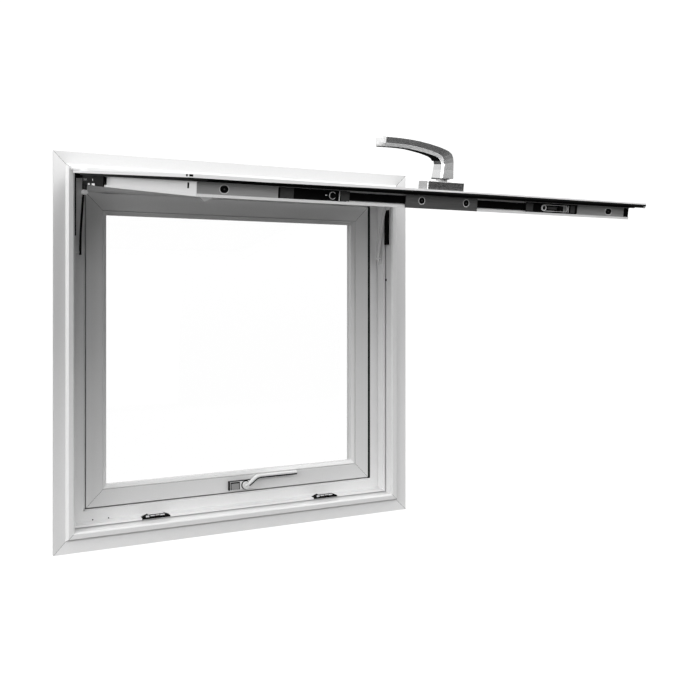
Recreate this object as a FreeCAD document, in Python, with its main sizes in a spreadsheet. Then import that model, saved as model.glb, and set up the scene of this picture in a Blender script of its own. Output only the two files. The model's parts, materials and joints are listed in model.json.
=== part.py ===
import FreeCAD, Part
import Sketcher
import os
import re

# Top hung awning window with two sashes in one aluminium frame.
# The inner screen sash hangs from the head and swings into the room; it is drawn open.
# The outer glazed sash hangs from the head and swings outwards; it is drawn closed.
# Frame of reference: X to the right and Z up as seen from the room, Y out of the building.
# Y = 0 is the back of the trim flange, where it bears on the wall. The origin is the middle
# of the part of the sill flange that bears there. Sizes are millimetres and degrees.

DRIVING = {
    # Outer frame and its trim
    "frame_width": 925,
    "frame_height": 900,
    "flange_width": 27,
    "flange_thickness": 8.5,
    "flange_slope": 3,
    "bevel_width": 6,
    "face_rise": 5.5,
    "face_width": 13.5,
    "edge_chamfer": 3.5,
    "bearing_width": 30,
    "bar_inset": 1,
    "seat_depth": 2,
    "step_height": 7,
    "step_depth": 16,
    "slot_height": 3,
    "slot_depth": 8,
    "sill_depth": 48,
    "upstand_height": 23.5,
    "upstand_thickness": 34,
    # Inner sash
    "open_angle": 82.04,
    "lip_overlap": 7,
    "edge_clearance": 12,
    "lip_thickness": 5,
    "seal_gap": 5,
    "body_thickness": 25,
    "rail_width": 62,
    "groove_width": 16,
    "groove_depth": 5,
    "groove_wall": 4,
    "gasket_height": 6,
    "gasket_depth": 4.5,
    "screen_thickness": 1,
    "screen_columns": 12,
    "screen_rows": 11,
    "screen_strip": 8,
    # Outer sash
    "sash_gap": 6.5,
    "sash_setback": 2,
    "outer_lip_overlap": 9.5,
    "outer_lip_thickness": 5,
    "stile_width": 38.5,
    "bead_width": 10,
    "bead_setback": 2,
    "leg_setback": 7,
    "bead_bevel": 5,
    "bead_flat": 3,
    "bead_groove": 1.2,
    "glass_thickness": 16,
    "glass_edge_gap": 1.5,
    # Butt hinges of both sashes
    "knuckle_radius": 4.5,
    "knuckle_gap": 0.5,
    "knuckle_length": 16,
    "pin_radius": 2.5,
    "pin_clearance": 0.08,
    "end_clearance": 0.4,
    "leaf_thickness": 2.5,
    "leaf_height": 30,
    "bracket_height": 5,
    "bracket_thickness": 3,
    "web_thickness": 3.5,
    "bracket_lift": 1,
    "hinge_reach": 4,
    "outer_hinge_inset": 60,
    # Stays of the inner sash: a track and an arm on each jamb, and a slide in each stile's groove
    "track_length": 130,
    "track_width": 16,
    "track_thickness": 5,
    "track_drop": 3,
    "arm_length": 142,
    "arm_width": 14,
    "arm_thickness": 4,
    "arm_lean": 19,
    "arm_stand": 10.5,
    "arm_depth": 30,
    "arm_drop": 169.5,
    "arm_pin_end": 2,
    "stay_foot_length": 30,
    "stay_foot_width": 17,
    "stay_foot_thickness": 3.5,
    "slide_length": 150,
    "slide_thickness": 7,
    # Locking gear in the groove of the bottom rail
    "plate_thickness": 2.7,
    "gear_plate_length": 136,
    "gear_plate_width": 20,
    "gear_plate_thickness": 1.5,
    "lock_length": 110,
    "lock_inset": 178,
    "slot_end_gap": 16,
    "lock_slot_width": 9,
    "end_plate_gap": 1,
    "left_end_stop": 0.5,
    "right_end_stop": 13,
    "rod_width": 12,
    "rod_thickness": 1.7,
    "rod_clearance": 0.3,
    "cam_radius": 3.5,
    "cam_reach": 5,
    "left_cam_inset": 23,
    "right_cam_inset": 41.5,
    "lock_travel": 18,
    "striker_length": 68,
    "striker_depth": 14,
    "striker_height": 6,
    "striker_setback": 0.5,
    "striker_shift": 5,
    "striker_ramp": 14.5,
    "tab_width": 20.5,
    "tab_height": 7.5,
    "tab_point": 7.2,
    "tab_thickness": 2,
    "tab_inset": 4.5,
    # Lever handle of the inner sash
    "rosette_length": 68.5,
    "rosette_width": 27,
    "rosette_height": 14,
    "rosette_round": 1.5,
    "handle_offset": 24,
    "lever_length": 119,
    "lever_width": 24,
    "neck_width": 21,
    "neck_height": 47.5,
    "grip_thickness": 14.5,
    "grip_rise": 12.5,
    "grip_arch": 2.5,
    "collar_radius": 9,
    "neck_foot": 4,
    "grip_round": 4,
    "handle_clearance": 0.3,
    # Cam handle of the outer sash
    "plate_length": 76,
    "plate_height": 21,
    "cam_plate_depth": 8,
    "cam_plate_offset": 12,
    "cam_plate_rise": 16,
    "boss_radius": 10,
    "boss_depth": 9,
    "boss_offset": 5.5,
    "cam_lever_rise": 24,
    "cam_lever_run": 37,
    "cam_lever_length": 104,
    "cam_lever_bar": 8,
    "cam_lever_depth": 8,
}

DERIVED = {
    "reveal_margin": "flange_width + bevel_width + face_width",
    "lining_margin": "reveal_margin + step_height",
    "bar_margin": "bearing_width + bar_inset",
    "upstand_margin": "lining_margin + upstand_height",
    "face_proud": "flange_thickness + face_rise",
    "frame_depth": "sill_depth + upstand_thickness",
    "frame_foot": "-bearing_width / 2",
    "frame_middle": "frame_foot + frame_height / 2",
    "knuckle_stand": "knuckle_radius + knuckle_gap",
    "inner_web_depth": "seal_gap + lip_thickness + knuckle_stand",
    "outer_web_depth": "seal_gap + outer_lip_thickness + knuckle_stand",
    "lip_margin": "reveal_margin - lip_overlap",
    "lip_reach": "lip_overlap + edge_clearance",
    "lip_width": "frame_width - 2 * lip_margin",
    "lip_height": "frame_height - 2 * lip_margin",
    "lip_back": "-face_proud - seal_gap",
    "lip_front": "lip_back - lip_thickness",
    "body_back": "lip_back + body_thickness",
    "groove_back": "body_back - groove_wall",
    "groove_front": "groove_back - groove_width",
    "groove_floor": "lip_reach + groove_depth",
    "body_width": "lip_width - 2 * lip_reach",
    "body_height": "lip_height - 2 * lip_reach",
    "lock_offset": "body_width / 2 - lock_inset",
    "rod_length": "2 * lock_offset + lock_length - 3 * lock_travel",
    "left_cam_offset": "lock_length / 2 - left_cam_inset",
    "right_cam_offset": "lock_length / 2 - right_cam_inset",
    "lock_slot_length": "lock_travel + 2 * (cam_radius + slot_end_gap)",
    "screen_width": "lip_width - 2 * rail_width",
    "screen_height": "lip_height - 2 * rail_width",
    "mesh_width": "(screen_width - screen_strip) / screen_columns - screen_strip",
    "mesh_height": "(screen_height - screen_strip) / screen_rows - screen_strip",
    "outer_body_margin": "upstand_margin + sash_gap",
    "outer_lip_margin": "upstand_margin - outer_lip_overlap",
    "outer_lip_reach": "outer_lip_overlap + sash_gap",
    "outer_lip_width": "frame_width - 2 * outer_lip_margin",
    "outer_lip_height": "frame_height - 2 * outer_lip_margin",
    "outer_face": "sill_depth + sash_setback",
    "outer_lip_front": "frame_depth + seal_gap",
    "outer_back": "outer_lip_front + outer_lip_thickness",
    "glazing_reach": "outer_lip_reach + stile_width",
    "leg_reach": "glazing_reach + bead_width - leg_setback",
    "glass_front": "outer_lip_front - glass_thickness",
    "bead_front": "outer_face + bead_setback",
    "bead_width_over": "outer_lip_width - 2 * glazing_reach",
    "bead_height_over": "outer_lip_height - 2 * glazing_reach",
    "glass_width": "bead_width_over - 2 * glass_edge_gap",
    "glass_height": "bead_height_over - 2 * glass_edge_gap",
}

doc = FreeCAD.newDocument("AwningWindow")
sheet = doc.addObject("Spreadsheet::Sheet", "Sizes")
cells = [(name, str(number)) for name, number in DRIVING.items()]
cells += [(name, "=" + formula) for name, formula in DERIVED.items()]
for row, (name, content) in enumerate(cells, start=1):
    sheet.set(f"A{row}", name)
    sheet.set(f"B{row}", content)
    sheet.setAlias(f"B{row}", name)
doc.recompute()

pieces = []


def value(name):
    """The number in a cell of the sheet."""
    return float(sheet.get(name))


def bound(formula):
    """A formula of cell names, as an expression that reads the sheet."""
    return re.sub(r"[a-z_]+", lambda word: "Sizes." + word.group(), formula)


def place(x, y, z, axis=None, angle=0):
    """A placement at a point, turned about an axis through that point."""
    turn = FreeCAD.Rotation(FreeCAD.Vector(*axis), angle) if axis else FreeCAD.Rotation()
    return FreeCAD.Placement(FreeCAD.Vector(x, y, z), turn)


def name_piece(item, label, placement=None):
    """Label a sub-part, place it and list it for writing."""
    item.Label = label
    if placement:
        item.Placement = placement
    pieces.append(item)
    return item


def outline(body, role, corners):
    """A closed outline on one of the body's origin planes; each corner is a pair of formulas."""
    plane = [feature for feature in body.Origin.OriginFeatures if feature.Role == role][0]
    sketch = body.newObject("Sketcher::SketchObject", "Outline")
    sketch.AttachmentSupport = [(plane, "")]
    sketch.MapMode = "FlatFace"
    loops = corners if isinstance(corners[0], list) else [corners]
    for loop in loops:
        first = sketch.GeometryCount
        count = len(loop)
        spots = [FreeCAD.Vector(10 * index, 7 * index * index, 0) for index in range(count)]
        lines = [Part.LineSegment(spots[index], spots[(index + 1) % count]) for index in range(count)]
        sketch.addGeometry(lines, False)
        for index in range(count):
            before = first + (index - 1) % count
            sketch.addConstraint(Sketcher.Constraint("Coincident", before, 2, first + index, 1))
        for index, (across, up) in enumerate(loop):
            spot = spots[index]
            for kind, formula, start in (("DistanceX", across, spot.x), ("DistanceY", up, spot.y)):
                tie = sketch.addConstraint(Sketcher.Constraint(kind, -1, 1, first + index, 1, start))
                sketch.setExpression(f"Constraints[{tie}]", bound(formula))
    return sketch


def mitred_bar(label, section, length, depth, placement):
    """A bar along X with 45 degree ends. The section is (Y, distance in from the outer edge)."""
    body = doc.addObject("PartDesign::Body", "Bar")
    pad = body.newObject("PartDesign::Pad", "Extrusion")
    pad.Profile = outline(body, "YZ_Plane", section)
    pad.SideType = "Symmetric"
    pad.setExpression("Length", bound(length))
    half = f"({length}) / 2"
    beyond = f"{half} + ({depth})"
    right = [(half, "0"), (f"{half} - ({depth})", depth), (beyond, depth), (beyond, "0")]
    left = [(f"-({across})", up) for across, up in right]
    mitre = body.newObject("PartDesign::Pocket", "Mitre")
    mitre.Profile = outline(body, "XZ_Plane", [right, left])
    mitre.SideType = "Symmetric"
    mitre.Type = "ThroughAll"
    body.Tip = mitre
    return name_piece(body, label, placement)


def ring_places(width, height):
    """Where the four bars of a ring lie: name, length formula and placement."""
    middle = value("frame_middle")
    return [
        ("head", width, place(0, 0, middle + value(height) / 2, (0, 1, 0), 180)),
        ("sill", width, place(0, 0, middle - value(height) / 2)),
        ("left", height, place(-value(width) / 2, 0, middle, (0, 1, 0), 90)),
        ("right", height, place(value(width) / 2, 0, middle, (0, 1, 0), -90)),
    ]


def ring(names, section, width, height, depth, moved=None):
    """Four mitred bars around the window; names gives each bar's label."""
    for side, length, spot in ring_places(width, height):
        placement = moved.multiply(spot) if moved else spot
        mitred_bar(names[side], section, length, depth, placement)


def box(size, corner):
    """A box of three formulas at a corner given in numbers."""
    item = doc.addObject("Part::Box", "Block")
    for side, formula in zip(("Length", "Width", "Height"), size):
        item.setExpression(side, bound(formula))
    item.Placement = place(*corner)
    return item


def rod_along(axis, radius, length, start):
    """A cylinder along X or Y from its start point; radius and length are formulas."""
    item = doc.addObject("Part::Cylinder", "Round")
    item.setExpression("Radius", bound(radius))
    item.setExpression("Height", bound(length))
    turn = ((0, 1, 0), 90) if axis == "X" else ((1, 0, 0), -90)
    item.Placement = place(*start, *turn)
    return item


def fused(*items):
    """One solid out of several that overlap."""
    whole = doc.addObject("Part::MultiFuse", "Joined")
    whole.Shapes = list(items)
    whole.Refine = True
    return whole


def cut(base, tool):
    """The base with the tool's space taken out."""
    rest = doc.addObject("Part::Cut", "Cut")
    rest.Base = base
    rest.Tool = tool
    return rest


def spread(*items):
    """Like pieces of one sub-part that stand apart."""
    group = doc.addObject("Part::Compound", "Set")
    group.Links = list(items)
    return group


# Levels used below, all read from the sheet
foot = value("frame_foot")
top = foot + value("frame_height")
lip_top = top - value("lip_margin")
lip_foot = foot + value("lip_margin")
hinge_y = value("lip_front") - value("knuckle_stand")
hinge_z = lip_top
outer_lip_top = top - value("outer_lip_margin")
outer_hinge_y = value("outer_back") + value("knuckle_stand")
outer_hinge_z = outer_lip_top

# The inner sash is laid out closed, then swung about its hinge axis
swing = (
    place(0, hinge_y, hinge_z, (1, 0, 0), -value("open_angle"))
    .multiply(place(0, -hinge_y, -hinge_z))
)


def opened(placement=None):
    """The placement of an inner sash piece once the sash is swung open."""
    return swing.multiply(placement) if placement else swing


def make_frame():
    """The frame bars that line the wall opening, and the trim that covers the wall's edge."""
    names = {
        "head": "frame_head",
        "sill": "frame_sill",
        "left": "frame_jamb_left",
        "right": "frame_jamb_right",
    }
    lining = [
        ("-seat_depth", "bar_margin"),
        ("-seat_depth", "reveal_margin"),
        ("step_depth + slot_depth", "reveal_margin"),
        ("step_depth + slot_depth", "reveal_margin + slot_height"),
        ("step_depth", "reveal_margin + slot_height"),
        ("step_depth", "lining_margin"),
        ("sill_depth", "lining_margin"),
        ("sill_depth", "upstand_margin"),
        ("frame_depth", "upstand_margin"),
        ("frame_depth", "bar_margin"),
    ]
    ring(names, lining, "frame_width", "frame_height", "frame_depth")
    names = {"head": "trim_head", "sill": "trim_sill", "left": "trim_left", "right": "trim_right"}
    trim = [
        ("0", "0"),
        ("-flange_thickness", "0"),
        ("flange_slope - flange_thickness", "flange_width"),
        ("-face_proud", "flange_width + bevel_width"),
        ("-face_proud", "reveal_margin - edge_chamfer"),
        ("-face_proud + edge_chamfer", "reveal_margin"),
        ("-seat_depth", "reveal_margin"),
        ("-seat_depth", "bearing_width"),
        ("0", "bearing_width"),
    ]
    ring(names, trim, "frame_width", "frame_height", "frame_depth")


def make_strikers():
    """Two keeper plates with ramped ends on the sill, where the locking cams come down."""
    sides = []
    for sign in (-1, 1):
        body = doc.addObject("PartDesign::Body", "Striker")
        pad = body.newObject("PartDesign::Pad", "Plate")
        pad.Profile = outline(body, "XZ_Plane", [
            ("-striker_length / 2", "0"),
            ("striker_length / 2", "0"),
            ("striker_length / 2 - striker_ramp", "striker_height"),
            ("striker_ramp - striker_length / 2", "striker_height"),
        ])
        pad.setExpression("Length", bound("striker_depth"))
        body.Tip = pad
        back = value("step_depth") + value("striker_setback") + value("striker_depth")
        centre = sign * value("lock_offset") + value("striker_shift")
        body.Placement = place(centre, back, foot + value("lining_margin"))
        sides.append(body)
    name_piece(spread(*sides), "strikers")


def make_inner_sash():
    """The four rails and stiles of the screen sash, its seal and its woven screen."""
    names = {
        "head": "inner_top_rail",
        "sill": "inner_bottom_rail",
        "left": "inner_stile_left",
        "right": "inner_stile_right",
    }
    section = [
        ("lip_front", "0"),
        ("lip_front", "rail_width"),
        ("body_back", "rail_width"),
        ("body_back", "lip_reach"),
        ("groove_back", "lip_reach"),
        ("groove_back", "groove_floor"),
        ("groove_front", "groove_floor"),
        ("groove_front", "lip_reach"),
        ("lip_back", "lip_reach"),
        ("lip_back", "0"),
    ]
    ring(names, section, "lip_width", "lip_height", "rail_width + lip_reach", swing)

    middle = value("frame_middle")
    seal_width = "body_width + 2 * gasket_height"
    seal_height = "body_height + 2 * gasket_height"
    outside = box(
        (seal_width, "gasket_depth", seal_height),
        (-value("body_width") / 2 - value("gasket_height"), value("lip_back"),
         middle - value("body_height") / 2 - value("gasket_height")),
    )
    inside = box(
        ("body_width", "gasket_depth", "body_height"),
        (-value("body_width") / 2, value("lip_back"), middle - value("body_height") / 2),
    )
    name_piece(cut(outside, inside), "inner_gasket", opened())

    screen_y = (value("lip_front") + value("body_back") - value("screen_thickness")) / 2
    corner = (-value("screen_width") / 2, screen_y, middle - value("screen_height") / 2)
    name_piece(screen_grid(), "inner_screen", opened(place(*corner)))


def screen_grid():
    """A thin sheet with a plain grid of openings, which stands for the woven screen."""
    sheet_metal = box(("screen_width", "screen_thickness", "screen_height"), (0, 0, 0))
    strip = value("screen_strip")
    openings = []
    for column in range(int(value("screen_columns"))):
        for row in range(int(value("screen_rows"))):
            x = strip + column * (value("mesh_width") + strip)
            z = strip + row * (value("mesh_height") + strip)
            spot = (x, -value("screen_thickness"), z)
            openings.append(box(("mesh_width", "screen_thickness * 3", "mesh_height"), spot))
    return cut(sheet_metal, spread(*openings))


def make_hinge(sign, stem, axis_y, axis_z, outwards, web_depth, far_end, side, moved):
    """A butt hinge: a bracket with its pin on the frame, and a leaf on the sash.

    outwards is the way along Y that the knuckles stand proud of the sash: -1 or 1.
    far_end is how far the hinge reaches from the middle of the window.
    """
    length = value("knuckle_length")
    seat_y = -value("face_proud") if outwards < 0 else value("frame_depth")
    bracket_near = far_end - length
    leaf_near = bracket_near - length - value("end_clearance")

    def span(near, reach):
        return near if sign > 0 else -near - reach

    def along_y(start, reach):
        return start if outwards > 0 else start - reach

    foot_z = axis_z + value("bracket_lift")
    foot_length = "knuckle_length * 2 + end_clearance"
    foot_x = span(leaf_near, 2 * length + value("end_clearance"))
    plate = box(
        (foot_length, "bracket_thickness", "bracket_height"),
        (foot_x, along_y(seat_y, value("bracket_thickness")), foot_z),
    )
    web = box(
        ("knuckle_length", web_depth, "web_thickness"),
        (span(bracket_near, length), along_y(seat_y, value(web_depth)), foot_z),
    )
    knuckle_start = (span(bracket_near, length), axis_y, axis_z)
    knuckle = rod_along("X", "knuckle_radius", "knuckle_length", knuckle_start)
    pin = rod_along("X", "pin_radius", foot_length, (foot_x, axis_y, axis_z))
    name_piece(fused(plate, web, knuckle, pin), f"{stem}_bracket_{side}")

    face_y = axis_y - outwards * value("knuckle_stand")
    leaf = box(
        ("knuckle_length", "leaf_thickness", "leaf_height"),
        (span(leaf_near, length), along_y(face_y, value("leaf_thickness")), axis_z - value("leaf_height")),
    )
    barrel_start = (span(leaf_near, length), axis_y, axis_z)
    barrel = rod_along("X", "knuckle_radius", "knuckle_length", barrel_start)
    bore_start = (span(leaf_near - length, 3 * length), axis_y, axis_z)
    bore = rod_along("X", "pin_radius + pin_clearance", "knuckle_length * 3", bore_start)
    name_piece(cut(fused(leaf, barrel), bore), f"{stem}_leaf_{side}", moved)


def make_hinges():
    """Two butt hinges for each sash, left and right."""
    inner_end = value("lip_width") / 2 + value("hinge_reach")
    outer_end = value("outer_lip_width") / 2 - value("outer_hinge_inset")
    inner = ("inner_hinge", hinge_y, hinge_z, -1, "inner_web_depth", inner_end)
    outer = ("outer_hinge", outer_hinge_y, outer_hinge_z, 1, "outer_web_depth", outer_end)
    for sign, side in ((-1, "left"), (1, "right")):
        make_hinge(sign, *inner, side, opened())
        make_hinge(sign, *outer, side, None)


def make_stays():
    """Stays of the inner sash: a track and a leaning arm on each jamb, a slide in each stile's groove."""
    wall = value("frame_width") / 2 - value("lining_margin")
    reveal = value("frame_width") / 2 - value("reveal_margin")
    head = top - value("lining_margin")
    pivot_y = value("arm_depth")
    pivot_z = head - value("arm_drop")
    pin_length = "arm_stand + arm_thickness + arm_pin_end"
    pin_reach = value("arm_stand") + value("arm_thickness") + value("arm_pin_end")
    tracks = []
    feet = []
    for sign, side in ((-1, "left"), (1, "right")):
        near = reveal - value("track_thickness") if sign > 0 else -reveal
        track_y = value("step_depth") - value("track_width")
        track_z = head - value("track_drop") - value("track_length")
        tracks.append(box(("track_thickness", "track_width", "track_length"), (near, track_y, track_z)))

        near = wall - value("stay_foot_thickness") if sign > 0 else -wall
        plate = box(
            ("stay_foot_thickness", "stay_foot_width", "stay_foot_length"),
            (near, pivot_y - value("pin_radius"), pivot_z - value("stay_foot_length") / 2),
        )
        near = wall - pin_reach if sign > 0 else -wall
        feet.append(fused(plate, rod_along("X", "pin_radius", pin_length, (near, pivot_y, pivot_z))))

        bar = box(("arm_thickness", "arm_width", "arm_length"), (0, -value("arm_width") / 2, 0))
        eye = rod_along("X", "arm_width / 2", "arm_thickness", (0, 0, 0))
        tip = rod_along("X", "arm_width / 2", "arm_thickness", (0, 0, value("arm_length")))
        bore_start = (-value("arm_thickness"), 0, 0)
        bore = rod_along("X", "pin_radius + pin_clearance", "arm_thickness * 3", bore_start)
        near = wall - value("arm_stand") - value("arm_thickness") if sign > 0 else value("arm_stand") - wall
        leaning = place(near, pivot_y, pivot_z, (1, 0, 0), value("arm_lean"))
        name_piece(cut(fused(bar, eye, tip), bore), f"stay_arm_{side}", leaning)

        floor = value("lip_width") / 2 - value("groove_floor")
        near = floor if sign > 0 else -floor - value("slide_thickness")
        slide_z = lip_top - value("groove_floor") - value("slide_length")
        slide = box(("slide_thickness", "groove_width", "slide_length"), (0, 0, 0))
        name_piece(slide, f"stay_slide_{side}", opened(place(near, value("groove_front"), slide_z)))
    name_piece(spread(*tracks), "stay_tracks")
    name_piece(spread(*feet), "stay_feet")


def make_lock():
    """The locking gear in the bottom rail's groove: plates, lock cases, and the sliding rod."""
    edge = value("lip_reach")
    gear = box(("gear_plate_length", "gear_plate_width", "gear_plate_thickness"), (0, 0, 0))
    spot = place(-value("gear_plate_length") / 2, value("body_back") - value("gear_plate_width"),
                 lip_foot + edge - value("gear_plate_thickness"))
    name_piece(gear, "gearbox_plate", opened(spot))

    groove_middle = (value("groove_front") + value("groove_back")) / 2
    for sign, side in ((-1, "left"), (1, "right")):
        centre = sign * value("lock_offset")
        case = box(
            ("lock_length", "groove_width", "plate_thickness"),
            (centre - value("lock_length") / 2, value("groove_front"), lip_foot + edge),
        )
        slot_middle = centre + value(f"{side}_cam_offset") - value("lock_travel") / 2
        slot = box(
            ("lock_slot_length", "lock_slot_width", "plate_thickness * 3"),
            (slot_middle - value("lock_slot_length") / 2, groove_middle - value("lock_slot_width") / 2,
             lip_foot + edge - value("plate_thickness")),
        )
        name_piece(cut(case, slot), f"lock_case_{side}", opened())

    inner_end = "lock_offset + lock_length / 2 + end_plate_gap"
    start = value("lock_offset") + value("lock_length") / 2 + value("end_plate_gap")
    ends = []
    for sign, stop in ((-1, "left_end_stop"), (1, "right_end_stop")):
        length = f"body_width / 2 - ({inner_end}) - {stop}"
        reach = value("body_width") / 2 - start - value(stop)
        near = start if sign > 0 else -start - reach
        corner = (near, value("groove_front"), lip_foot + edge)
        ends.append(box((length, "groove_width", "groove_depth"), corner))
    name_piece(spread(*ends), "groove_end_plates", opened())

    rod_reach = value("rod_length") / 2
    floor = lip_foot + value("groove_floor") - value("rod_clearance") - value("rod_thickness")
    rod = box(
        ("rod_length", "rod_width", "rod_thickness"),
        (-rod_reach, groove_middle - value("rod_width") / 2, floor),
    )
    cams = []
    for sign, side in ((-1, "left"), (1, "right")):
        cam = doc.addObject("Part::Cylinder", "Cam")
        cam.setExpression("Radius", bound("cam_radius"))
        cam.setExpression("Height", bound("cam_reach + groove_depth - rod_clearance"))
        cam_x = sign * value("lock_offset") + value(f"{side}_cam_offset")
        cam.Placement = place(cam_x, groove_middle, lip_foot + edge - value("cam_reach"))
        cams.append(cam)
    name_piece(fused(rod, *cams), "lock_rod", opened())

    tab = doc.addObject("PartDesign::Body", "Tab")
    pad = tab.newObject("PartDesign::Pad", "Plate")
    pad.Profile = outline(tab, "XY_Plane", [("0", "0"), ("tab_width", "0"), ("tab_point", "tab_height")])
    pad.setExpression("Length", bound("tab_thickness"))
    tab.Tip = pad
    near = -value("body_width") / 2 + value("tab_inset")
    name_piece(tab, "corner_tab", opened(place(near, value("body_back"), lip_foot + edge)))


def lever_shape(front):
    """The arched lever on its round collar; its turning axis is Y, and front is the rosette's face."""
    half = value("neck_width") / 2
    bend = value("neck_height")
    tip = -value("lever_length")
    thick = value("grip_thickness")
    rise = value("grip_rise")
    broad = value("lever_width") / 2
    base = value("neck_foot")
    corner = value("grip_round")
    bulge = corner * (1 - 0.5 ** 0.5)

    def side(x, height):
        return FreeCAD.Vector(x, front - height, -broad)

    def plan(x, z):
        return FreeCAD.Vector(x, front, z)

    # Seen along the rail: a neck, an elbow and a grip that arches away from the sash
    middle = (tip - half) / 2
    crest = bend + rise / 2 + value("grip_arch")
    quarter = half * (1 - 0.5 ** 0.5)
    profile = Part.Wire([
        Part.LineSegment(side(half, base), side(half, bend - half)).toShape(),
        Part.Arc(side(half, bend - half), side(half - quarter, bend - quarter), side(0, bend)).toShape(),
        Part.Arc(side(0, bend), side(middle, crest), side(tip, bend + rise)).toShape(),
        Part.LineSegment(side(tip, bend + rise), side(tip, bend + rise - thick)).toShape(),
        Part.Arc(
            side(tip, bend + rise - thick), side(middle, crest - thick), side(-half, bend - thick)
        ).toShape(),
        Part.LineSegment(side(-half, bend - thick), side(-half, base)).toShape(),
        Part.LineSegment(side(-half, base), side(half, base)).toShape(),
    ])
    bar = Part.Face(profile).extrude(FreeCAD.Vector(0, 0, 2 * broad))

    # Seen from the room: a strip with rounded corners at its end
    turn_in = tip + corner
    flat = broad - corner
    outline_wire = Part.Wire([
        Part.LineSegment(plan(half, -broad), plan(half, broad)).toShape(),
        Part.LineSegment(plan(half, broad), plan(turn_in, broad)).toShape(),
        Part.Arc(plan(turn_in, broad), plan(tip + bulge, broad - bulge), plan(tip, flat)).toShape(),
        Part.LineSegment(plan(tip, flat), plan(tip, -flat)).toShape(),
        Part.Arc(plan(tip, -flat), plan(tip + bulge, bulge - broad), plan(turn_in, -broad)).toShape(),
        Part.LineSegment(plan(turn_in, -broad), plan(half, -broad)).toShape(),
    ])
    strip = Part.Face(outline_wire).extrude(FreeCAD.Vector(0, -crest - rise, 0))
    low = value("handle_clearance")
    collar = Part.makeCylinder(
        value("collar_radius"), base + corner - low,
        FreeCAD.Vector(0, front - low, 0), FreeCAD.Vector(0, -1, 0),
    )
    return bar.common(strip).fuse(collar).removeSplitter()


def make_lever_handle():
    """The rosette and the arched lever on the room face of the bottom rail."""
    handle_z = lip_foot + value("handle_offset")
    rosette = box(
        ("rosette_length", "rosette_height", "rosette_width"),
        (-value("rosette_length") / 2, value("lip_front") - value("rosette_height"),
         handle_z - value("rosette_width") / 2),
    )
    rounded = doc.addObject("Part::Fillet", "Rosette")
    rounded.Base = rosette
    doc.recompute()
    front = value("lip_front") - value("rosette_height")
    edges = [
        index + 1 for index, edge in enumerate(rosette.Shape.Edges)
        if not all(abs(vertex.Y - value("lip_front")) < 1e-6 for vertex in edge.Vertexes)
    ]
    rounded.Edges = [(index, value("rosette_round"), value("rosette_round")) for index in edges]
    name_piece(rounded, "handle_rosette", opened())

    lever = doc.addObject("Part::Feature", "Lever")
    lever.Shape = lever_shape(front)
    name_piece(lever, "lever_handle", opened(place(0, 0, handle_z)))


def make_outer_sash():
    """The glazed sash: stiles and rails, glazing beads and the pane."""
    names = {
        "head": "outer_top_rail",
        "sill": "outer_bottom_rail",
        "left": "outer_stile_left",
        "right": "outer_stile_right",
    }
    section = [
        ("outer_face", "outer_lip_reach"),
        ("outer_face", "glazing_reach"),
        ("outer_lip_front", "glazing_reach"),
        ("outer_lip_front", "leg_reach"),
        ("outer_back", "leg_reach"),
        ("outer_back", "0"),
        ("outer_lip_front", "0"),
        ("outer_lip_front", "outer_lip_reach"),
    ]
    ring(names, section, "outer_lip_width", "outer_lip_height", "leg_reach * 2")

    names = {
        "head": "glazing_bead_top",
        "sill": "glazing_bead_bottom",
        "left": "glazing_bead_left",
        "right": "glazing_bead_right",
    }
    bead = [
        ("bead_front + bead_groove * 2", "0"),
        ("bead_front", "bead_groove"),
        ("bead_front", "bead_flat"),
        ("bead_front + bead_bevel", "bead_width"),
        ("glass_front", "bead_width"),
        ("glass_front", "0"),
    ]
    ring(names, bead, "bead_width_over", "bead_height_over", "bead_width * 2")

    pane = box(("glass_width", "glass_thickness", "glass_height"), (0, 0, 0))
    pane_foot = value("frame_middle") - value("glass_height") / 2
    spot = place(-value("glass_width") / 2, value("glass_front"), pane_foot)
    name_piece(pane, "glass_pane", spot)


def make_cam_handle():
    """The cam handle of the outer sash: a plate with a boss, and a cranked lever."""
    rail_foot = foot + value("outer_body_margin")
    centre_x = value("cam_plate_offset")
    centre_z = rail_foot + value("cam_plate_rise")
    face = value("outer_face")
    plate = box(
        ("plate_length", "cam_plate_depth", "plate_height"),
        (centre_x - value("plate_length") / 2, face - value("cam_plate_depth"),
         centre_z - value("plate_height") / 2),
    )
    name_piece(plate, "cam_plate")

    boss_x = centre_x + value("boss_offset")
    seat = face - value("cam_plate_depth") - value("handle_clearance")
    boss = rod_along("Y", "boss_radius", "boss_depth", (boss_x, seat - value("boss_depth"), centre_z))
    bar = doc.addObject("PartDesign::Body", "CamBar")
    pad = bar.newObject("PartDesign::Pad", "Bar")
    pad.Profile = outline(bar, "XZ_Plane", [
        ("-cam_lever_bar / 2", "0"),
        ("cam_lever_bar / 2", "-cam_lever_bar / 2"),
        ("cam_lever_run", "cam_lever_rise - cam_lever_bar"),
        ("cam_lever_run + cam_lever_length", "cam_lever_rise - cam_lever_bar"),
        ("cam_lever_run + cam_lever_length", "cam_lever_rise"),
        ("cam_lever_run - cam_lever_bar / 2", "cam_lever_rise"),
    ])
    pad.setExpression("Length", bound("cam_lever_depth"))
    bar.Tip = pad
    bar.Placement = place(boss_x, seat - value("boss_depth") + value("cam_lever_depth"), centre_z)
    name_piece(fused(boss, bar), "cam_lever")


make_frame()
make_strikers()
make_inner_sash()
make_hinges()
make_stays()
make_lock()
make_lever_handle()
make_outer_sash()
make_cam_handle()
doc.recompute()

for item in doc.Objects:
    if "Invalid" in item.State or "Error" in item.State:
        raise RuntimeError(f"{item.Label} did not build: {item.State}")
for piece in pieces:
    if piece.Shape.isNull() or not piece.Shape.isValid():
        raise RuntimeError(f"{piece.Label} has no valid shape")

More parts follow.
